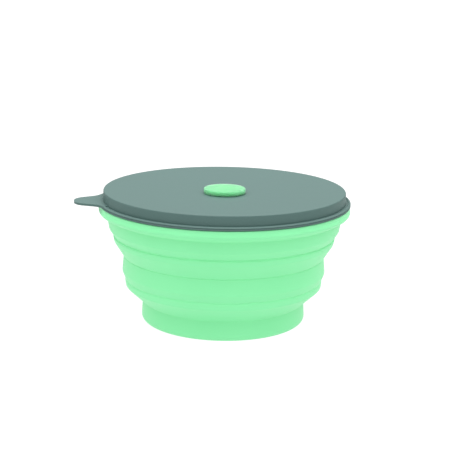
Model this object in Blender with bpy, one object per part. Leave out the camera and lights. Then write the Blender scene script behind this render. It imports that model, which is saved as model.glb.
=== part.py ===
"""Collapsible food container: a folding silicone bowl, a press-on lid with a pull tab, and a vent plug.

The bowl is one moulding. It is divided here at its moulded creases into stiff bands and thin webs, because
each web turns inside out when the bowl is pushed flat. Units are metres, +Z is up, the origin is the centre
of the flat underside, and the pull tab points towards -X.
"""

import math

import bmesh
import bpy
from mathutils import Vector

# Fineness of round shapes
ROUND_STEPS = 56
ARC_STEPS = 3
DISH_STEPS = 4
TAB_SWEEP_STEPS = 7

# Clearances
CREASE_GAP = 0.0003
LID_SEAT_GAP = 0.0003
LID_SIDE_GAP = 0.0003
PLUG_SEAT_GAP = 0.0003
PLUG_SIDE_GAP = 0.0003

# Base cup
FOOT_RADIUS = 0.0545
FOOT_FILLET = 0.0024
BASE_HEIGHT = 0.0135
BASE_DRAW_IN = 0.0007
BASE_WALL = 0.0028
FLOOR_THICKNESS = 0.0026
FLOOR_FILLET = 0.0040

# Folding webs, measured along the outside
WEB_WALL = 0.0013
LOWER_WEB_REACH = 0.0113
LOWER_WEB_RISE = 0.0105
UPPER_WEB_REACH = 0.0062
UPPER_WEB_RISE = 0.0097

# Stiff bands: a hem under a step, and a plain belt above it
BAND_WALL = 0.0029
HEM_WALL = 0.0022
BAND_FILLET = 0.0020
MIDDLE_HEM_HEIGHT = 0.0047
MIDDLE_HEM_FLARE = 0.0004
MIDDLE_STEP_RISE = 0.0050
MIDDLE_STEP_REACH = 0.0018
MIDDLE_BELT_HEIGHT = 0.0105
MIDDLE_BELT_FLARE = -0.0009
UPPER_HEM_HEIGHT = 0.0042
UPPER_HEM_FLARE = 0.0005
UPPER_STEP_RISE = 0.0048
UPPER_STEP_REACH = 0.0029
UPPER_BELT_HEIGHT = 0.0077
UPPER_BELT_FLARE = 0.0012

# Rim: a flare, a collar, and a lip that the lid sits on
RIM_FLARE_REACH = 0.0057
RIM_FLARE_RISE = 0.0030
RIM_FILLET = 0.0030
COLLAR_HEIGHT = 0.0051
COLLAR_DRAW_IN = 0.0007
LIP_SETBACK = 0.0014
LIP_HEIGHT = 0.0011
LIP_WALL = 0.0030
LIP_FILLET = 0.0004

# Lid: a skirt over the rim's lip, a narrow flange, and a raised crown with a dished top
SKIRT_WALL = 0.0017
SKIRT_STEP = 0.0002
BEAD_HEIGHT = 0.0016
BEAD_FILLET = 0.0007
FLANGE_THICKNESS = 0.0012
CROWN_SETBACK = 0.0027
CROWN_HEIGHT = 0.0065
CROWN_TAPER = 0.0009
CROWN_FILLET = 0.0008
CROWN_WALL = 0.0015
LID_WALL = 0.0016
DISH_DEPTH = 0.0028
VENT_HOLE_RADIUS = 0.0045
VENT_SEAT_MARGIN = 0.0016

# Pull tab, in one piece with the lid's skirt. Its sides spread from its middle line towards the lid.
TAB_REACH = 0.0158
TAB_TIP_WIDTH = 0.0148
TAB_SPREAD = math.radians(25)
TAB_THICKNESS = 0.0014
TAB_DROP = 0.0001
TAB_ROOT_FILLET = 0.0100
TAB_TIP_FILLET = 0.0095

# Vent plug: a cap with a slightly raised middle, a fluted stem through the lid, and a barb that stops it from
# being pulled right out
CAP_RADIUS = 0.0141
CAP_TAPER = 0.0002
CAP_HEIGHT = 0.0038
CAP_FALL = 0.0007
CAP_FILLET = 0.0007
PLUG_LIFT = 0.0030
BARB_REACH = 0.0014
BARB_HEIGHT = 0.0026
BARB_TIP_RADIUS = 0.0030
FLUTE_COUNT = 4
FLUTE_WIDTH = 0.0014
FLUTE_DEPTH = 0.0010

MERGE_DISTANCE = 0.000001
SHARP_ANGLE = math.radians(35)

# Colour, roughness and metallic value of each finish
MINT_SILICONE = ((0.26, 0.87, 0.41, 1.0), 0.50, 0.0)
MINT_PLUG_SILICONE = ((0.30, 0.84, 0.44, 1.0), 0.45, 0.0)
GREY_GREEN_PLASTIC = ((0.12, 0.20, 0.185, 1.0), 0.42, 0.0)

# Radii and heights that the bowl's pieces share, worked out from the foot upwards
BASE_TOP_RADIUS = FOOT_RADIUS - BASE_DRAW_IN
MIDDLE_RADIUS = BASE_TOP_RADIUS + LOWER_WEB_REACH
MIDDLE_TOP_RADIUS = MIDDLE_RADIUS + MIDDLE_HEM_FLARE + MIDDLE_STEP_REACH + MIDDLE_BELT_FLARE
MIDDLE_HEIGHT = MIDDLE_HEM_HEIGHT + MIDDLE_STEP_RISE + MIDDLE_BELT_HEIGHT
UPPER_RADIUS = MIDDLE_TOP_RADIUS + UPPER_WEB_REACH
UPPER_TOP_RADIUS = UPPER_RADIUS + UPPER_HEM_FLARE + UPPER_STEP_REACH + UPPER_BELT_FLARE
UPPER_HEIGHT = UPPER_HEM_HEIGHT + UPPER_STEP_RISE + UPPER_BELT_HEIGHT
COLLAR_TOP_RADIUS = UPPER_TOP_RADIUS + RIM_FLARE_REACH - COLLAR_DRAW_IN
LIP_RADIUS = COLLAR_TOP_RADIUS - LIP_SETBACK
RIM_HEIGHT = RIM_FLARE_RISE + COLLAR_HEIGHT + LIP_HEIGHT

# Radii and heights that the lid shares with the rim, its tab and the plug, from its flange's underside
SKIRT_INNER_RADIUS = LIP_RADIUS + LID_SIDE_GAP
FLANGE_RADIUS = SKIRT_INNER_RADIUS + SKIRT_WALL
CROWN_RADIUS = FLANGE_RADIUS - CROWN_SETBACK
CROWN_TOP = FLANGE_THICKNESS + CROWN_HEIGHT
VENT_SEAT_TOP = CROWN_TOP - DISH_DEPTH
VENT_SEAT_RADIUS = CAP_RADIUS + VENT_SEAT_MARGIN
STEM_RADIUS = VENT_HOLE_RADIUS - PLUG_SIDE_GAP


def make_material(name, finish):
    """A Principled material of one colour, roughness and metallic value."""
    colour, roughness, metallic = finish
    material = bpy.data.materials.new(name)
    material.use_nodes = True
    shader = material.node_tree.nodes["Principled BSDF"]
    shader.inputs["Base Color"].default_value = colour
    shader.inputs["Roughness"].default_value = roughness
    shader.inputs["Metallic"].default_value = metallic
    material.diffuse_color = colour
    return material


def make_tier(name, height, parent=None):
    """An empty on the bowl's axis, height above its parent, that carries what moves together."""
    tier = bpy.data.objects.new(name, None)
    bpy.context.scene.collection.objects.link(tier)
    tier.parent = parent
    tier.location = (0, 0, height)
    return tier


def corner_arc(before, corner, after, radius):
    """Points of the arc that rounds a corner, with its radius limited by the shorter side."""
    back = (before - corner).normalized()
    ahead = (after - corner).normalized()
    half = back.angle(ahead) / 2
    room = min((before - corner).length, (after - corner).length) / 2
    reach = min(radius / math.tan(half), room)
    radius = reach * math.tan(half)
    centre = corner + (back + ahead).normalized() * (radius / math.sin(half))
    first = corner + back * reach - centre
    last = corner + ahead * reach - centre
    start = math.atan2(first.y, first.x)
    sweep = math.remainder(math.atan2(last.y, last.x) - start, math.tau)
    angles = [start + sweep * step / ARC_STEPS for step in range(ARC_STEPS + 1)]
    return [centre + radius * Vector((math.cos(angle), math.sin(angle))) for angle in angles]


def rounded(corners, closed):
    """Outline through (x, y) or (x, y, fillet) corners, with an arc at each corner that has a fillet."""
    places = [Vector(corner[:2]) for corner in corners]
    points = []
    for index, corner in enumerate(corners):
        at_end = not closed and corner in (corners[0], corners[-1])
        if len(corner) == 2 or at_end:
            points.append(places[index])
        else:
            after = places[(index + 1) % len(places)]
            points.extend(corner_arc(places[index - 1], places[index], after, corner[2]))
    return points


def finish_object(name, shape, material, tier, height=0.0):
    """Links a bmesh as a smooth-shaded object, height above its tier."""
    bmesh.ops.remove_doubles(shape, verts=shape.verts, dist=MERGE_DISTANCE)
    bmesh.ops.recalc_face_normals(shape, faces=shape.faces)
    mesh = bpy.data.meshes.new(name)
    shape.to_mesh(mesh)
    shape.free()
    mesh.shade_smooth()
    mesh.set_sharp_from_angle(angle=SHARP_ANGLE)
    mesh.materials.append(material)
    piece = bpy.data.objects.new(name, mesh)
    bpy.context.scene.collection.objects.link(piece)
    piece.parent = tier
    piece.location = (0, 0, height)
    return piece


def turned(name, corners, material, tier, height=0.0, closed=True):
    """A body turned about Z from (radius, height) corners. An open outline starts and ends on the axis."""
    shape = bmesh.new()
    ring = [shape.verts.new((point.x, 0, point.y)) for point in rounded(corners, closed)]
    edges = [shape.edges.new(pair) for pair in zip(ring, ring[1:])]
    if closed:
        edges.append(shape.edges.new((ring[-1], ring[0])))
    bmesh.ops.spin(
        shape,
        geom=ring + edges,
        cent=(0, 0, 0),
        axis=(0, 0, 1),
        angle=math.tau,
        steps=ROUND_STEPS,
        use_merge=True,
    )
    return finish_object(name, shape, material, tier, height)


def extruded(name, outline, bottom, top, material, tier):
    """A flat plate from (x, y) points, between two heights above its tier."""
    shape = bmesh.new()
    face = shape.faces.new([shape.verts.new((x, y, bottom)) for x, y in outline])
    raised = bmesh.ops.extrude_face_region(shape, geom=[face])["geom"]
    top_verts = [item for item in raised if isinstance(item, bmesh.types.BMVert)]
    bmesh.ops.translate(shape, verts=top_verts, vec=(0, 0, top - bottom))
    return finish_object(name, shape, material, tier)


def combine(piece, tool, operation):
    """Joins a tool to a piece or cuts it out, and keeps the tool as a guide that isn't shown."""
    tool.hide_render = True
    tool.display_type = "WIRE"
    step = piece.modifiers.new(tool.name, "BOOLEAN")
    step.operation = operation
    step.object = tool


def make_base_cup(material, tier):
    """The standing cup: a flat floor and a short wall, rounded at the foot."""
    top = BASE_HEIGHT - CREASE_GAP / 2
    corners = [
        (0, 0),
        (FOOT_RADIUS, 0, FOOT_FILLET),
        (BASE_TOP_RADIUS, top),
        (BASE_TOP_RADIUS - BASE_WALL, top),
        (FOOT_RADIUS - BASE_WALL, FLOOR_THICKNESS, FLOOR_FILLET),
        (0, FLOOR_THICKNESS),
    ]
    return turned("base_cup", corners, material, tier, closed=False)


def make_web(name, inner_radius, span, material, tier, height):
    """A thin cone between two bands, which turns inside out in a fold. Its span is (reach, rise)."""
    reach, rise = span
    gap = CREASE_GAP / 2
    slope = reach / rise
    level_wall = WEB_WALL * math.hypot(reach, rise) / rise
    foot = inner_radius + gap * slope
    head = inner_radius + reach - gap * slope
    corners = [(foot, gap), (head, rise - gap), (head - level_wall, rise - gap), (foot - level_wall, gap)]
    return turned(name, corners, material, tier, height)


def make_band(name, radius, hem, step, belt, material, tier):
    """A stiff band. Hem, step and belt are each (height, flare), from the bottom upwards."""
    hem_top, step_top, belt_top = hem[0], hem[0] + step[0], hem[0] + step[0] + belt[0]
    hem_radius = radius + hem[1]
    step_radius = hem_radius + step[1]
    belt_radius = step_radius + belt[1]
    gap = CREASE_GAP / 2
    corners = [
        (radius, gap),
        (hem_radius, hem_top),
        (step_radius, step_top, BAND_FILLET),
        (belt_radius, belt_top - gap),
        (belt_radius - BAND_WALL, belt_top - gap),
        (step_radius - BAND_WALL, step_top, BAND_FILLET),
        (hem_radius - HEM_WALL, hem_top),
        (radius - HEM_WALL, gap),
    ]
    return turned(name, corners, material, tier)


def make_rim(material, tier, height):
    """The thick rim: it flares out to a collar, and a lip stands up inside the lid's skirt."""
    collar_foot = UPPER_TOP_RADIUS + RIM_FLARE_REACH
    collar_top = RIM_FLARE_RISE + COLLAR_HEIGHT
    lip_inner = LIP_RADIUS - LIP_WALL
    corners = [
        (UPPER_TOP_RADIUS, CREASE_GAP / 2),
        (collar_foot, RIM_FLARE_RISE, RIM_FILLET),
        (COLLAR_TOP_RADIUS, collar_top),
        (LIP_RADIUS, collar_top),
        (LIP_RADIUS, RIM_HEIGHT, LIP_FILLET),
        (lip_inner, RIM_HEIGHT, LIP_FILLET),
        (lip_inner, RIM_FLARE_RISE, BAND_FILLET),
        (UPPER_TOP_RADIUS - BAND_WALL, CREASE_GAP / 2),
    ]
    return turned("rim", corners, material, tier, height)


def dish_profile(edge):
    """(radius, height) points of the lid's dished top, from the vent seat to just short of its edge."""
    points = []
    for step in range(DISH_STEPS):
        radius = VENT_SEAT_RADIUS + (edge - VENT_SEAT_RADIUS) * step / DISH_STEPS
        share = (radius - VENT_SEAT_RADIUS) / (CROWN_RADIUS - VENT_SEAT_RADIUS)
        points.append((radius, VENT_SEAT_TOP + DISH_DEPTH * share**2))
    return points


def tab_outline():
    """The pull tab's outline. Its sides sweep into the flange's round edge with the root fillet."""
    tip_corner = Vector((FLANGE_RADIUS + TAB_REACH, TAB_TIP_WIDTH / 2))
    inward = Vector((-math.cos(TAB_SPREAD), math.sin(TAB_SPREAD)))
    sideways = Vector((math.sin(TAB_SPREAD), math.cos(TAB_SPREAD)))
    beside = tip_corner + sideways * TAB_ROOT_FILLET
    centre_radius = FLANGE_RADIUS + TAB_ROOT_FILLET
    ahead = beside.dot(inward)
    run = -ahead - math.sqrt(ahead**2 - beside.length_squared + centre_radius**2)
    centre = beside + inward * run
    root_angle = math.atan2(centre.y, centre.x)
    start = -math.pi / 2 - TAB_SPREAD
    sweep = root_angle - math.pi - start
    side = []
    for step in range(TAB_SWEEP_STEPS + 1):
        angle = start + sweep * step / TAB_SWEEP_STEPS
        side.append(centre + TAB_ROOT_FILLET * Vector((math.cos(angle), math.sin(angle))))
    straight = side[0] - tip_corner
    other_corner = Vector((tip_corner.x, -tip_corner.y))
    end = corner_arc(other_corner, tip_corner, side[0] + straight, TAB_TIP_FILLET)
    root = FLANGE_RADIUS - SKIRT_WALL / 2
    inside = []
    for step in range(ARC_STEPS):
        angle = root_angle * (1 - step / ARC_STEPS)
        inside.append(Vector((root * math.cos(angle), root * math.sin(angle))))
    half = end + side + inside
    middle = Vector((root, 0))
    mirrored = [Vector((point.x, -point.y)) for point in reversed(half)]
    return [(-point.x, point.y) for point in half + [middle] + mirrored]


def make_lid(material, tier):
    """The lid: skirt, beaded flange and dished crown turned in one, with the pull tab joined on."""
    skirt_bottom = -LIP_HEIGHT
    bead_bottom = FLANGE_THICKNESS - BEAD_HEIGHT
    crown_inner = CROWN_RADIUS - CROWN_WALL
    crown_edge = CROWN_RADIUS - CROWN_TAPER
    inner_edge = crown_inner - CROWN_TAPER
    underside = [(radius, height - LID_WALL) for radius, height in reversed(dish_profile(inner_edge))]
    corners = [
        (VENT_HOLE_RADIUS, VENT_SEAT_TOP),
        *dish_profile(crown_edge),
        (crown_edge, CROWN_TOP, CROWN_FILLET),
        (CROWN_RADIUS, FLANGE_THICKNESS),
        (FLANGE_RADIUS, FLANGE_THICKNESS, BEAD_FILLET),
        (FLANGE_RADIUS, bead_bottom),
        (FLANGE_RADIUS - SKIRT_STEP, bead_bottom),
        (FLANGE_RADIUS - SKIRT_STEP, skirt_bottom),
        (SKIRT_INNER_RADIUS, skirt_bottom),
        (SKIRT_INNER_RADIUS, 0),
        (crown_inner, 0),
        (inner_edge, CROWN_TOP - LID_WALL),
        *underside,
        (VENT_HOLE_RADIUS, VENT_SEAT_TOP - LID_WALL),
    ]
    lid = turned("lid", corners, material, tier)
    tab_top = FLANGE_THICKNESS - TAB_DROP
    tab = extruded("tab_guide", tab_outline(), tab_top - TAB_THICKNESS, tab_top, material, tier)
    combine(lid, tab, "UNION")
    return lid


def make_vent_plug(material, tier):
    """The vent plug: it is pulled up by its cap, and steam leaves along the flutes in its stem."""
    barb_top = -PLUG_SEAT_GAP - LID_WALL - PLUG_LIFT - PLUG_SEAT_GAP
    barb_bottom = barb_top - BARB_HEIGHT
    corners = [
        (0, CAP_HEIGHT),
        (CAP_RADIUS - CAP_TAPER, CAP_HEIGHT - CAP_FALL, CAP_FILLET),
        (CAP_RADIUS, 0),
        (STEM_RADIUS, 0),
        (STEM_RADIUS, barb_top),
        (STEM_RADIUS + BARB_REACH, barb_top),
        (BARB_TIP_RADIUS, barb_bottom),
        (0, barb_bottom),
    ]
    plug = turned("vent_plug", corners, material, tier, closed=False)
    inner = STEM_RADIUS - FLUTE_DEPTH
    outer = STEM_RADIUS + BARB_REACH
    half_width = FLUTE_WIDTH / 2
    pitch = math.tau / FLUTE_COUNT
    for index in range(FLUTE_COUNT):
        turn = pitch * index + pitch / 2
        across = Vector((math.cos(turn), math.sin(turn)))
        along = Vector((-across.y, across.x))
        sides = [(inner, -half_width), (outer, -half_width), (outer, half_width), (inner, half_width)]
        outline = [across * out + along * side for out, side in sides]
        flute = extruded(f"flute_guide_{index + 1}", outline, barb_bottom, 0, material, tier)
        flute.location.z = -PLUG_SEAT_GAP
        combine(plug, flute, "DIFFERENCE")
    return plug


def main():
    for item in list(bpy.data.objects):
        bpy.data.objects.remove(item)

    bowl_silicone = make_material("mint_silicone", MINT_SILICONE)
    plug_silicone = make_material("mint_plug_silicone", MINT_PLUG_SILICONE)
    lid_plastic = make_material("grey_green_plastic", GREY_GREEN_PLASTIC)

    base_tier = make_tier("base_tier", 0.0)
    middle_tier = make_tier("middle_tier", BASE_HEIGHT + LOWER_WEB_RISE, base_tier)
    upper_tier = make_tier("upper_tier", MIDDLE_HEIGHT + UPPER_WEB_RISE, middle_tier)
    lid_tier = make_tier("lid_tier", UPPER_HEIGHT + RIM_HEIGHT + LID_SEAT_GAP, upper_tier)
    plug_tier = make_tier("plug_tier", VENT_SEAT_TOP + PLUG_SEAT_GAP, lid_tier)

    make_base_cup(bowl_silicone, base_tier)
    make_web(
        "lower_web",
        BASE_TOP_RADIUS,
        (LOWER_WEB_REACH, LOWER_WEB_RISE),
        bowl_silicone,
        base_tier,
        BASE_HEIGHT,
    )
    make_band(
        "middle_band",
        MIDDLE_RADIUS,
        (MIDDLE_HEM_HEIGHT, MIDDLE_HEM_FLARE),
        (MIDDLE_STEP_RISE, MIDDLE_STEP_REACH),
        (MIDDLE_BELT_HEIGHT, MIDDLE_BELT_FLARE),
        bowl_silicone,
        middle_tier,
    )
    make_web(
        "upper_web",
        MIDDLE_TOP_RADIUS,
        (UPPER_WEB_REACH, UPPER_WEB_RISE),
        bowl_silicone,
        middle_tier,
        MIDDLE_HEIGHT,
    )
    make_band(
        "upper_band",
        UPPER_RADIUS,
        (UPPER_HEM_HEIGHT, UPPER_HEM_FLARE),
        (UPPER_STEP_RISE, UPPER_STEP_REACH),
        (UPPER_BELT_HEIGHT, UPPER_BELT_FLARE),
        bowl_silicone,
        upper_tier,
    )
    make_rim(bowl_silicone, upper_tier, UPPER_HEIGHT)
    make_lid(lid_plastic, lid_tier)
    make_vent_plug(plug_silicone, plug_tier)


main()
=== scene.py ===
"""Looks of the collapsible food container: a folding mint bowl, a grey-green lid and a vent plug."""

import math

import bmesh
import bpy
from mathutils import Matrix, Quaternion, Vector


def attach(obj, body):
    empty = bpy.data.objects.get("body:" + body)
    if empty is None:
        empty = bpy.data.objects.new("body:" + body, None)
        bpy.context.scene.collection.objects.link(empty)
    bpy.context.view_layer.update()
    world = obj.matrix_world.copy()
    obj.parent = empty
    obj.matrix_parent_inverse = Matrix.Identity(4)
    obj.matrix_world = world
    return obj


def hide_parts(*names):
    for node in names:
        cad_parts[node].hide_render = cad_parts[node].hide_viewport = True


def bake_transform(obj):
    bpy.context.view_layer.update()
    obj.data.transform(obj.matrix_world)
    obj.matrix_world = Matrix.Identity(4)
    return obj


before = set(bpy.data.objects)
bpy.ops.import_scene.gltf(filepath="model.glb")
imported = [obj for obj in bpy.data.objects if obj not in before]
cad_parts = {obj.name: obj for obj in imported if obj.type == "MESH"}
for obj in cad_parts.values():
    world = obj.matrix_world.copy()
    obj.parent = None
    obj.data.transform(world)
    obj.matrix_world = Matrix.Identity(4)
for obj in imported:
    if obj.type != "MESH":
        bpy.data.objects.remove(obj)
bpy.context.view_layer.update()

# Camera: it looks a little down on the container, from far enough away to flatten its perspective.
# It is turned a little towards the pull tab's side and leans slightly, as the photograph does.
camera_sensor = 36.0
camera_lens = 99.5
camera_turn = Quaternion((0, 0, 1), math.radians(-7.0))
camera_place = camera_turn @ Vector((0, -0.8019, 0.2534))
camera_aim = camera_turn @ Vector((0.00055, 0, 0.0633))
camera_lean = Quaternion((0, 0, 1), math.radians(0.9))
camera_look = (camera_aim - camera_place).to_track_quat("-Z", "Y") @ camera_lean
bpy.ops.object.camera_add(location=camera_place, rotation=camera_look.to_euler())
camera = bpy.context.object
camera.data.sensor_width = camera_sensor
camera.data.lens = camera_lens
bpy.context.scene.camera = camera

# Studio: a white table that glows a little, a room that is dim along its walls and bright towards its
# ceiling, the same all round, and a wide soft light overhead. The table's glow keeps the shadow faint and
# lights the undersides of the bowl's steps. Seen straight, the room is plain white.
floor_radius = 8.0
floor_sides = 96
floor_tone = (0.12, 0.12, 0.12, 1)
floor_roughness = 0.9
floor_glow = 0.97
white = (1, 1, 1, 1)
room_low = 0.36
room_high = 1.7
room_seen = 1.0
room_low_height = 0.20
room_high_height = 0.65
softbox_width = 1.6
softbox_height = 1.5
softbox_power = 11.0
bpy.ops.object.select_all(action="DESELECT")
bpy.ops.mesh.primitive_circle_add(vertices=floor_sides, radius=floor_radius, fill_type="NGON")
floor = bpy.context.object
floor.name = "floor"
floor_paint = bpy.data.materials.new("floor_white")
floor_paint.use_nodes = True
floor_shader = floor_paint.node_tree.nodes["Principled BSDF"]
floor_shader.inputs["Base Color"].default_value = floor_tone
floor_shader.inputs["Roughness"].default_value = floor_roughness
floor_shader.inputs["Specular IOR Level"].default_value = 0.0
floor_shader.inputs["Emission Color"].default_value = white
floor_shader.inputs["Emission Strength"].default_value = floor_glow
floor.data.materials.append(floor_paint)
room = bpy.data.worlds.new("white_room")
room.use_nodes = True
room_nodes = room.node_tree.nodes
room_nodes["Background"].inputs["Color"].default_value = white
room_direction = room_nodes.new("ShaderNodeTexCoord")
room_height = room_nodes.new("ShaderNodeSeparateXYZ")
room_shade = room_nodes.new("ShaderNodeMapRange")
room_shade.interpolation_type = "SMOOTHSTEP"
room_shade.inputs["From Min"].default_value = room_low_height
room_shade.inputs["From Max"].default_value = room_high_height
room_shade.inputs["To Min"].default_value = room_low
room_shade.inputs["To Max"].default_value = room_high
room_rays = room_nodes.new("ShaderNodeLightPath")
room_strength = room_nodes.new("ShaderNodeMix")
room_strength.inputs["B"].default_value = room_seen
room.node_tree.links.new(room_direction.outputs["Generated"], room_height.inputs["Vector"])
room.node_tree.links.new(room_height.outputs["Z"], room_shade.inputs["Value"])
room.node_tree.links.new(room_rays.outputs["Is Camera Ray"], room_strength.inputs["Factor"])
room.node_tree.links.new(room_shade.outputs["Result"], room_strength.inputs["A"])
room.node_tree.links.new(room_strength.outputs["Result"], room_nodes["Background"].inputs["Strength"])
bpy.context.scene.world = room
bpy.ops.object.light_add(type="AREA", location=(0, 0, softbox_height))
softbox = bpy.context.object
softbox.data.shape = "DISK"
softbox.data.size = softbox_width
softbox.data.energy = softbox_power
bpy.context.scene.view_settings.view_transform = "Standard"
bpy.context.scene.view_settings.look = "None"

# Base cup: the floor and short wall that the bowl stands on, the lowest part of one silicone moulding.
# Its underside is a foot ring round a shallow recess, and its wall leans in a little to the first crease.
touch = 0.000001
round_steps = 256
arc_steps = 8
long_run = 0.004
crease_angle = math.radians(32)


def pick(passes):
    """Selects the points of the mesh in edit mode whose place passes a test, and nothing else."""
    mesh = bmesh.from_edit_mesh(bpy.context.edit_object.data)
    for point in mesh.verts:
        point.select_set(passes(point.co))
    mesh.select_flush(True)
    mesh.select_flush(False)
    bmesh.update_edit_mesh(bpy.context.edit_object.data)


def draw_outline(name, corners, level=None):
    """Draws a filled outline in edit mode, from (radius, height) corners in the XZ plane, or from (x, y)
    corners at a level. A corner with a third number is rounded to that radius."""
    if level is None:
        places = [Vector((corner[0], 0, corner[1])) for corner in corners]
    else:
        places = [Vector((corner[0], corner[1], level)) for corner in corners]
    bpy.ops.object.select_all(action="DESELECT")
    bpy.ops.mesh.primitive_plane_add()
    piece = bpy.context.object
    piece.name = piece.data.name = name
    bpy.ops.object.mode_set(mode="EDIT")
    bpy.ops.mesh.merge(type="CENTER")
    bpy.ops.transform.translate(value=places[0])
    for before, after in zip(places, places[1:]):
        bpy.ops.mesh.extrude_region_move(TRANSFORM_OT_translate={"value": after - before})
    bpy.ops.mesh.select_all(action="SELECT")
    bpy.ops.mesh.edge_face_add()
    for index, corner in enumerate(corners):
        if len(corner) == 3:
            back = places[index - 1] - places[index]
            ahead = places[(index + 1) % len(places)] - places[index]
            reach = corner[2] / math.tan(back.angle(ahead) / 2)
            pick(lambda place: (place - places[index]).length < touch)
            bpy.ops.mesh.bevel(offset=reach, segments=arc_steps, affect="VERTICES")
    return piece


def turn_outline(piece, cuts=0):
    """Spins the drawn outline about Z into a closed wall. Cuts divide its long straight runs first."""
    bpy.ops.mesh.select_all(action="SELECT")
    bpy.ops.mesh.delete(type="ONLY_FACE")
    pick(lambda place: place.x < touch)
    bpy.ops.mesh.delete(type="EDGE_FACE")
    if cuts:
        mesh = bmesh.from_edit_mesh(piece.data)
        for edge in mesh.edges:
            edge.select_set(edge.calc_length() > long_run)
        bmesh.update_edit_mesh(piece.data)
        bpy.ops.mesh.subdivide(number_cuts=cuts)
    bpy.ops.mesh.select_all(action="SELECT")
    bpy.ops.mesh.spin(steps=round_steps, angle=math.tau, center=(0, 0, 0), axis=(0, 0, 1))
    bpy.ops.mesh.select_all(action="SELECT")
    bpy.ops.mesh.remove_doubles(threshold=touch)
    bpy.ops.mesh.normals_make_consistent(inside=False)
    bpy.ops.object.mode_set(mode="OBJECT")
    bpy.ops.object.shade_smooth_by_angle(angle=crease_angle)


class Shade:
    """One output of a material's nodes. Sums and products of them add Math nodes."""

    def __init__(self, tree, socket=None):
        self.tree = tree
        self.socket = socket

    def node(self, kind, settings, values, output=0):
        """Adds a node, gives it its settings, then links or sets its inputs."""
        added = self.tree.nodes.new(kind)
        for name, setting in settings.items():
            setattr(added, name, setting)
        for key, value in values.items():
            if isinstance(value, Shade):
                self.tree.links.new(value.socket, added.inputs[key])
            else:
                added.inputs[key].default_value = value
        return Shade(self.tree, added.outputs[output])

    def math(self, operation, first, second):
        return self.node("ShaderNodeMath", {"operation": operation}, {0: first, 1: second})

    def __add__(self, other):
        return self.math("ADD", self, other)

    def __radd__(self, other):
        return self.math("ADD", other, self)

    def __mul__(self, other):
        return self.math("MULTIPLY", self, other)

    def __rmul__(self, other):
        return self.math("MULTIPLY", other, self)

    def noise(self, place, size, detail=2.0):
        """Smooth noise from 0 to 1, with spots of about this size in metres."""
        return self.node(
            "ShaderNodeTexNoise", {}, {"Vector": place, "Scale": 1 / size, "Detail": detail}
        )

    def mix(self, share, first, second):
        """A colour between two others."""
        settings = {"data_type": "RGBA"}
        return self.node("ShaderNodeMix", settings, {0: share, 6: first, 7: second}, output=2)

    def bump(self, height, depth, strength):
        """A normal from a height of 0 to 1, which stands for this depth in metres."""
        return self.node(
            "ShaderNodeBump", {}, {"Height": height, "Distance": depth, "Strength": strength}
        )


def start_material(name):
    """A new material: its node tools, the place on the object, and its Principled shader."""
    material = bpy.data.materials.new(name)
    material.use_nodes = True
    nodes = Shade(material.node_tree)
    place = nodes.node("ShaderNodeTexCoord", {}, {}, output="Object")
    return material, nodes, place, material.node_tree.nodes["Principled BSDF"]


def finish_material(nodes, shader, colour, roughness, relief, constants):
    """Links what varies over the surface to the shader, and sets what doesn't."""
    for socket, value in (("Base Color", colour), ("Roughness", roughness), ("Normal", relief)):
        nodes.tree.links.new(value.socket, shader.inputs[socket])
    for socket, value in constants.items():
        shader.inputs[socket].default_value = value


silicone_cloud = 0.030
silicone_grain = 0.00035
silicone_relief = 0.00003
silicone_relief_strength = 0.35
silicone_roughness = 0.44
silicone_roughness_swing = 0.06
silicone_spread = (0.9, 1.0, 0.95)


def moulded_silicone(name, tone, pale_tone, depth, gloss):
    """Satin silicone: faintly cloudy pigment, a fine blasted grain and a soft powdery sheen. Light spreads
    about this depth in metres under its skin. Gloss is the strength of its reflections, 0.5 in full."""
    material, nodes, place, shader = start_material(name)
    cloud = nodes.noise(place, silicone_cloud)
    grain = nodes.noise(place, silicone_grain, detail=3.0)
    colour = nodes.mix(cloud * 0.8 + grain * 0.2, tone, pale_tone)
    swing = cloud * silicone_roughness_swing + grain * silicone_roughness_swing
    roughness = silicone_roughness + swing
    relief = nodes.bump(grain, silicone_relief, silicone_relief_strength)
    constants = {
        "IOR": 1.42,
        "Specular IOR Level": gloss,
        "Sheen Weight": 0.08,
        "Sheen Roughness": 0.5,
        "Subsurface Weight": 1.0 if depth else 0.0,
        "Subsurface Radius": silicone_spread,
        "Subsurface Scale": depth,
    }
    finish_material(nodes, shader, colour, roughness, relief, constants)
    return material


mint = (0.228, 0.82, 0.372, 1)
pale_mint = (0.258, 0.86, 0.407, 1)
bowl_silicone = moulded_silicone("mint_silicone", mint, pale_mint, depth=0.0, gloss=0.5)


def along(start, end, height):
    """The point at a height on the straight run between two corners."""
    share = (height - start[1]) / (end[1] - start[1])
    return (start[0] + (end[0] - start[0]) * share, height)


base_foot = (0.0545, 0.0)
base_crease = (0.0538, 0.0135)
base_seam = 0.0114
base_wall = 0.0028
base_floor = 0.0026
recess_radius = 0.0430
recess_depth = 0.0006
recess_round = 0.0008
recess_edge_round = 0.0006
foot_round = 0.0032
floor_round = 0.0040
base_inside_foot = (base_foot[0] - base_wall, base_floor)
base_inside_crease = (base_crease[0] - base_wall, 0.0127)
base_cup = draw_outline(
    "base_cup",
    [
        (0, recess_depth),
        (recess_radius, recess_depth, recess_round),
        (recess_radius + recess_depth, 0, recess_edge_round),
        (*base_foot, foot_round),
        along(base_foot, base_crease, base_seam),
        along(base_inside_foot, base_inside_crease, base_seam),
        (*base_inside_foot, floor_round),
        (0, base_floor),
    ],
)
turn_outline(base_cup)
base_cup.data.materials.append(bowl_silicone)
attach(base_cup, "base")
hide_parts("base_cup")

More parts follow.
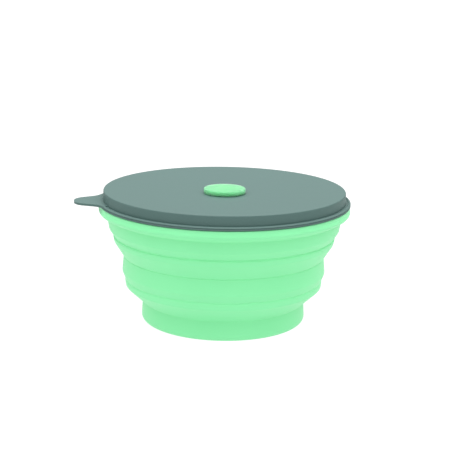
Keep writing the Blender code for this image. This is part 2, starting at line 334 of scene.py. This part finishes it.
# Lower web: the thin cone above the base cup, moulded in one with it, that turns inside out in a fold.
# Its foot is the first crease and its head rounds into the hem of the middle band.
web_cuts = 18
middle_foot = (0.0651, 0.0240)
middle_hem = (0.06545, 0.0270)
middle_inside_foot = (0.0629, 0.02375)
middle_inside_notch = (0.0633, 0.0287)
middle_hem_seam = 0.0256
crease_round = 0.0005
hem_foot_round = 0.0014
web_inside_round = 0.0015
lower_web = draw_outline(
    "lower_web",
    [
        along(base_foot, base_crease, base_seam),
        (*base_crease, crease_round),
        (*middle_foot, hem_foot_round),
        along(middle_foot, middle_hem, middle_hem_seam),
        along(middle_inside_foot, middle_inside_notch, middle_hem_seam),
        (*middle_inside_foot, web_inside_round),
        (*base_inside_crease, web_inside_round),
        along(base_inside_foot, base_inside_crease, base_seam),
    ],
)
turn_outline(lower_web, web_cuts)
lower_web.data.materials.append(bowl_silicone)
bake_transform(lower_web)
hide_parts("lower_web")

# Middle band: a stiff band of thick silicone, moulded in one with the webs above and below it. A hem under a
# faint notch and a step lead up to a plain belt, which leans in a little to the second crease.
middle_notch_foot = (0.0654, 0.0278)
middle_notch = (0.0651, 0.0286)
middle_notch_head = (0.0656, 0.0293)
middle_shoulder = (0.0673, 0.0337)
middle_crease = (0.0664, 0.0442)
middle_inside_shoulder = (0.0644, 0.0337)
middle_inside_crease = (0.06366, 0.0423)
middle_belt_seam = 0.0410
middle_hem_round = 0.0020
notch_round = 0.0003
shoulder_round = 0.0024
band_inside_round = 0.0030
middle_band = draw_outline(
    "middle_band",
    [
        along(middle_foot, middle_hem, middle_hem_seam),
        (*middle_hem, middle_hem_round),
        (*middle_notch_foot, notch_round),
        (*middle_notch, notch_round),
        (*middle_notch_head, notch_round),
        (*middle_shoulder, shoulder_round),
        along(middle_shoulder, middle_crease, middle_belt_seam),
        along(middle_inside_shoulder, middle_inside_crease, middle_belt_seam),
        (*middle_inside_shoulder, band_inside_round),
        (*middle_inside_notch, band_inside_round),
        along(middle_inside_foot, middle_inside_notch, middle_hem_seam),
    ],
)
turn_outline(middle_band)
middle_band.data.materials.append(bowl_silicone)
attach(middle_band, "middle_tier")
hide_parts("middle_band")

# Upper web: the second thin cone, steeper than the first, between the middle and the upper band. It is
# moulded in one with both, and it folds along a fine groove at its foot.
upper_foot = (0.0726, 0.0539)
upper_hem = (0.0732, 0.0565)
upper_inside_foot = (0.07025, 0.0526)
upper_inside_notch = (0.0709, 0.0581)
upper_hem_seam = 0.0550
hinge_foot = (0.06643, 0.0438)
hinge_groove = (0.0662, 0.0443)
hinge_head = (0.0668, 0.0448)
hinge_round = 0.0002
hinge_head_round = 0.0003
upper_web = draw_outline(
    "upper_web",
    [
        along(middle_shoulder, middle_crease, middle_belt_seam),
        (*hinge_foot, hinge_round),
        (*hinge_groove, hinge_round),
        (*hinge_head, hinge_head_round),
        (*upper_foot, hem_foot_round),
        along(upper_foot, upper_hem, upper_hem_seam),
        along(upper_inside_foot, upper_inside_notch, upper_hem_seam),
        (*upper_inside_foot, web_inside_round),
        (*middle_inside_crease, web_inside_round),
        along(middle_inside_shoulder, middle_inside_crease, middle_belt_seam),
    ],
)
turn_outline(upper_web, web_cuts)
upper_web.data.materials.append(bowl_silicone)
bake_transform(upper_web)
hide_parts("upper_web")

# Upper band: the second stiff band of thick silicone, moulded in one with the web below it and the rim above.
# It has a hem, a notch and a step, and its belt flares to the third crease.
upper_notch_foot = (0.07315, 0.0573)
upper_notch = (0.0726, 0.0580)
upper_notch_head = (0.0733, 0.0588)
upper_shoulder = (0.0760, 0.0629)
upper_crease = (0.0772, 0.0706)
upper_inside_shoulder = (0.0731, 0.0629)
upper_inside_crease = (0.0743, 0.0706)
upper_belt_seam = 0.0690
upper_hem_round = 0.0016
upper_inside_notch_round = 0.0022
upper_band = draw_outline(
    "upper_band",
    [
        along(upper_foot, upper_hem, upper_hem_seam),
        (*upper_hem, upper_hem_round),
        (*upper_notch_foot, notch_round),
        (*upper_notch, notch_round),
        (*upper_notch_head, notch_round),
        (*upper_shoulder, shoulder_round),
        along(upper_shoulder, upper_crease, upper_belt_seam),
        along(upper_inside_shoulder, upper_inside_crease, upper_belt_seam),
        (*upper_inside_shoulder, band_inside_round),
        (*upper_inside_notch, upper_inside_notch_round),
        along(upper_inside_foot, upper_inside_notch, upper_hem_seam),
    ],
)
turn_outline(upper_band)
upper_band.data.materials.append(bowl_silicone)
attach(upper_band, "upper_tier")
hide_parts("upper_band")

# Rim: the bowl's thick top edge, the last part of the same silicone moulding. It flares to a collar with a
# low ridge and a shallow cove above it, and a lip stands up inside the lid's skirt.
collar_foot = (0.0828, 0.0736)
collar_foot_round = 0.0024
collar_ridge = (0.0827, 0.0752)
collar_ridge_round = 0.0003
collar_cove = (0.0823, 0.0772)
collar_cove_round = 0.0020
collar_top = (0.0822, 0.0787)
collar_top_round = 0.0005
lip_radius = 0.0808
lip_top = 0.0798
lip_wall = 0.0030
lip_foot = 0.0736
lip_round = 0.0005
lip_seat_round = 0.0003
rim_inside_round = 0.0020
rim = draw_outline(
    "rim",
    [
        along(upper_shoulder, upper_crease, upper_belt_seam),
        (*upper_crease, crease_round),
        (*collar_foot, collar_foot_round),
        (*collar_ridge, collar_ridge_round),
        (*collar_cove, collar_cove_round),
        (*collar_top, collar_top_round),
        (lip_radius, collar_top[1], lip_seat_round),
        (lip_radius, lip_top, lip_round),
        (lip_radius - lip_wall, lip_top, lip_round),
        (lip_radius - lip_wall, lip_foot, rim_inside_round),
        (*upper_inside_crease, rim_inside_round),
        along(upper_inside_shoulder, upper_inside_crease, upper_belt_seam),
    ],
)
turn_outline(rim)
rim.data.materials.append(bowl_silicone)
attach(rim, "upper_tier")
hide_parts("rim")

# Lid: one satin plastic moulding that presses over the rim's lip. A grooved skirt carries a beaded flange
# and a raised crown, whose top is dished towards the vent hole. A pull tab is moulded on, and the channel
# behind the bead is filled at its root.
plastic_flow = 0.11
plastic_cloud = 0.045
plastic_grain = 0.0003
plastic_relief = 0.00002
plastic_relief_strength = 0.3
plastic_roughness = 0.53


def moulded_plastic(name, tone, pale_tone):
    """Satin plastic: nearly even pigment, a fine spark-eroded grain, and faint flow marks from its middle."""
    material, nodes, place, shader = start_material(name)
    level_place = nodes.node("ShaderNodeVectorMath", {"operation": "MULTIPLY"}, {0: place, 1: (1, 1, 0)})
    direction = nodes.node("ShaderNodeVectorMath", {"operation": "NORMALIZE"}, {0: level_place})
    flow = nodes.noise(direction, plastic_flow, detail=4.0)
    cloud = nodes.noise(place, plastic_cloud)
    grain = nodes.noise(place, plastic_grain, detail=3.0)
    colour = nodes.mix(cloud * 0.5 + flow * 0.3 + grain * 0.2, tone, pale_tone)
    roughness = plastic_roughness + cloud * 0.05 + flow * 0.05 + grain * 0.06
    relief = nodes.bump(grain, plastic_relief, plastic_relief_strength)
    finish_material(nodes, shader, colour, roughness, relief, {"IOR": 1.70})
    return material


grey_green = (0.043, 0.109, 0.097, 1)
pale_grey_green = (0.054, 0.128, 0.114, 1)
lid_plastic = moulded_plastic("grey_green_plastic", grey_green, pale_grey_green)
flange_radius = 0.0828
flange_under = 0.0801
bead_top = 0.08125
bead_inside = 0.0812
bead_crest = 0.0816
bead_edge = 0.0807
bead_inside_round = 0.0002
bead_crest_round = 0.0008
bead_edge_round = 0.0004
channel_floor = 0.08075
channel_round = 0.0002
crown_foot = (0.0798, channel_floor)
crown_edge = (0.0795, 0.0878)
crown_wall = 0.0015
crown_round = 0.0008
crown_inside_round = 0.0004
lid_wall = 0.0016
seat_radius = 0.0157
seat_top = 0.0850
vent_radius = 0.0045
skirt_radius = 0.0828
skirt_inside = 0.0811
skirt_bottom = 0.0790
groove_top = 0.0804
groove_bottom = 0.0802
groove_depth = 0.0004
skirt_chamfer = 0.0006
skirt_chamfer_round = 0.0002
skirt_round = 0.0003
dish_steps = 20


def dish(edge, drop):
    """(radius, height) points of the dished top from the vent seat towards an edge, lowered by a drop."""
    points = []
    for step in range(dish_steps):
        radius = seat_radius + (edge - seat_radius) * step / dish_steps
        rise = (crown_edge[1] - seat_top) * ((radius - seat_radius) / (crown_edge[0] - seat_radius)) ** 2
        points.append((radius, seat_top + rise - drop))
    return points


lid = draw_outline(
    "lid",
    [
        (vent_radius, seat_top),
        *dish(crown_edge[0], 0),
        (*crown_edge, crown_round),
        (*crown_foot, channel_round),
        (bead_inside, channel_floor),
        (bead_inside, bead_top, bead_inside_round),
        (bead_crest, bead_top, bead_crest_round),
        (flange_radius, bead_edge, bead_edge_round),
        (flange_radius, groove_top),
        (skirt_radius - groove_depth, groove_top),
        (skirt_radius - groove_depth, groove_bottom),
        (skirt_radius, groove_bottom - skirt_chamfer, skirt_chamfer_round),
        (skirt_radius, skirt_bottom, skirt_round),
        (skirt_inside, skirt_bottom),
        (skirt_inside, flange_under),
        (crown_foot[0] - crown_wall, flange_under, crown_inside_round),
        (crown_edge[0] - crown_wall, crown_edge[1] - lid_wall, crown_round),
        *reversed(dish(crown_edge[0] - crown_wall, lid_wall)),
        (vent_radius, seat_top - lid_wall),
    ],
)
turn_outline(lid)
tab_tip = Vector((0.0986, 0.0074))
tab_spread = math.radians(25)
tab_top = 0.0811
tab_thickness = 0.0014
tab_edge = 0.0004
tab_edge_steps = 4
tab_tip_round = 0.0095
tab_sweep = 0.0100
tab_root = 0.0819
root_steps = 8
# The side of the tab sweeps into the flange along an arc that touches both.
tab_inward = Vector((-math.cos(tab_spread), math.sin(tab_spread)))
tab_sideways = Vector((math.sin(tab_spread), math.cos(tab_spread)))
beside = tab_tip + tab_sideways * tab_sweep
ahead = beside.dot(tab_inward)
run = -ahead - math.sqrt(ahead**2 - beside.length_squared + (flange_radius + tab_sweep) ** 2)
sweep_centre = beside + tab_inward * run
to_axis = -sweep_centre.normalized()
sweep_corner = sweep_centre + (to_axis - tab_sideways) * tab_sweep / (1 - to_axis.dot(tab_sideways))
sweep_end = -to_axis * flange_radius
root_angle = math.atan2(sweep_end.y, sweep_end.x)
root_angles = [root_angle * (1 - 2 * step / root_steps) for step in range(root_steps + 1)]


def root_arc(radius):
    """Points across the root of the tab at a radius."""
    return [(-radius * math.cos(angle), radius * math.sin(angle)) for angle in root_angles]


def thicken(thickness):
    """Makes a plate of the drawn outline, with this thickness upwards."""
    bpy.ops.mesh.select_all(action="SELECT")
    bpy.ops.mesh.extrude_region_move(TRANSFORM_OT_translate={"value": (0, 0, thickness)})
    bpy.ops.mesh.select_all(action="SELECT")
    bpy.ops.mesh.normals_make_consistent(inside=False)


pull_tab = draw_outline(
    "pull_tab",
    [
        (-tab_tip.x, -tab_tip.y, tab_tip_round),
        (-tab_tip.x, tab_tip.y, tab_tip_round),
        (-sweep_corner.x, sweep_corner.y, tab_sweep),
        (-sweep_end.x, sweep_end.y),
        *root_arc(tab_root),
        (-sweep_end.x, -sweep_end.y),
        (-sweep_corner.x, -sweep_corner.y, tab_sweep),
    ],
    level=tab_top - tab_thickness,
)
thicken(tab_thickness)
tab_mesh = bmesh.from_edit_mesh(pull_tab.data)
for edge in tab_mesh.edges:
    start, end = edge.verts
    edge.select_set(abs(start.co.z - end.co.z) < touch)
bmesh.update_edit_mesh(pull_tab.data)
bpy.ops.mesh.bevel(offset=tab_edge, segments=tab_edge_steps, affect="EDGES")
bpy.ops.object.mode_set(mode="OBJECT")
fill_outside = 0.0815
fill_inside = 0.0792
fill_top = 0.0812
fill_bottom = 0.0803
tab_fill = draw_outline(
    "tab_fill", [*root_arc(fill_outside), *reversed(root_arc(fill_inside))], level=fill_bottom
)
thicken(fill_top - fill_bottom)
bpy.ops.object.mode_set(mode="OBJECT")


def combine(piece, tool, operation):
    """Joins a tool to a piece or cuts it out, and deletes the tool."""
    bpy.ops.object.select_all(action="DESELECT")
    piece.select_set(True)
    bpy.context.view_layer.objects.active = piece
    step = piece.modifiers.new(tool.name, "BOOLEAN")
    step.operation = operation
    step.object = tool
    bpy.ops.object.modifier_apply(modifier=step.name)
    bpy.ops.object.shade_smooth_by_angle(angle=crease_angle)
    bpy.data.objects.remove(tool)


combine(lid, pull_tab, "UNION")
combine(lid, tab_fill, "UNION")
lid.data.materials.append(lid_plastic)
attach(lid, "lid")
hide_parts("lid")

# Vent plug: a soft silicone button pushed through the lid's hole. It is pulled up by its cap to let steam out
# along the flutes in its stem, and the barb under the lid keeps it from coming out.
# The plug's mint is the bowl's silicone made darker. The darkening is painted shade that keeps its brightly
# lit top from looking brighter than the bowl.
plug_mint_painted_darker = (0.140, 0.465, 0.203, 1)
pale_plug_mint_painted_darker = (0.155, 0.500, 0.223, 1)
plug_silicone = moulded_silicone("mint_plug_silicone", plug_mint_painted_darker, pale_plug_mint_painted_darker, depth=0.020, gloss=0.05)
cap_radius = 0.0138
cap_bottom = 0.0853
cap_edge = (0.0136, 0.0884)
cap_top = 0.0891
dome_steps = 6
cap_dome = []
for step in range(dome_steps):
    share = step / dome_steps
    cap_dome.append((cap_edge[0] * share, cap_top - (cap_top - cap_edge[1]) * share**2))
stem_radius = 0.0042
barb_radius = 0.0056
barb_tip_radius = 0.0030
barb_top = 0.0801
barb_bottom = 0.0775
cap_edge_round = 0.0007
cap_foot_round = 0.0003
stem_head_round = 0.0004
barb_round = 0.0003
barb_tip_round = 0.0006
vent_plug = draw_outline(
    "vent_plug",
    [
        *cap_dome,
        (*cap_edge, cap_edge_round),
        (cap_radius, cap_bottom, cap_foot_round),
        (stem_radius, cap_bottom, stem_head_round),
        (stem_radius, barb_top, barb_round),
        (barb_radius, barb_top, barb_round),
        (barb_tip_radius, barb_bottom, barb_tip_round),
        (0, barb_bottom),
    ],
)
turn_outline(vent_plug)
flute_count = 4
flute_width = 0.0014
flute_inside = 0.0032
flute_reach = barb_radius - flute_inside + touch
flute_length = 0.0075
flute_headroom = 0.0003
flute_top = cap_bottom - flute_headroom
for index in range(flute_count):
    bpy.ops.object.select_all(action="DESELECT")
    bpy.ops.mesh.primitive_cube_add(size=1)
    flute = bpy.context.object
    bpy.ops.object.mode_set(mode="EDIT")
    bpy.ops.transform.resize(value=(flute_reach, flute_width, flute_length))
    flute_middle = (flute_inside + flute_reach / 2, 0, flute_top - flute_length / 2)
    bpy.ops.transform.translate(value=flute_middle)
    flute_turn = math.tau * (index + 0.5) / flute_count
    bpy.ops.transform.rotate(value=flute_turn, orient_axis="Z", center_override=(0, 0, 0))
    bpy.ops.object.mode_set(mode="OBJECT")
    combine(vent_plug, flute, "DIFFERENCE")
vent_plug.data.materials.append(plug_silicone)
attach(vent_plug, "vent_plug")
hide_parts("vent_plug")
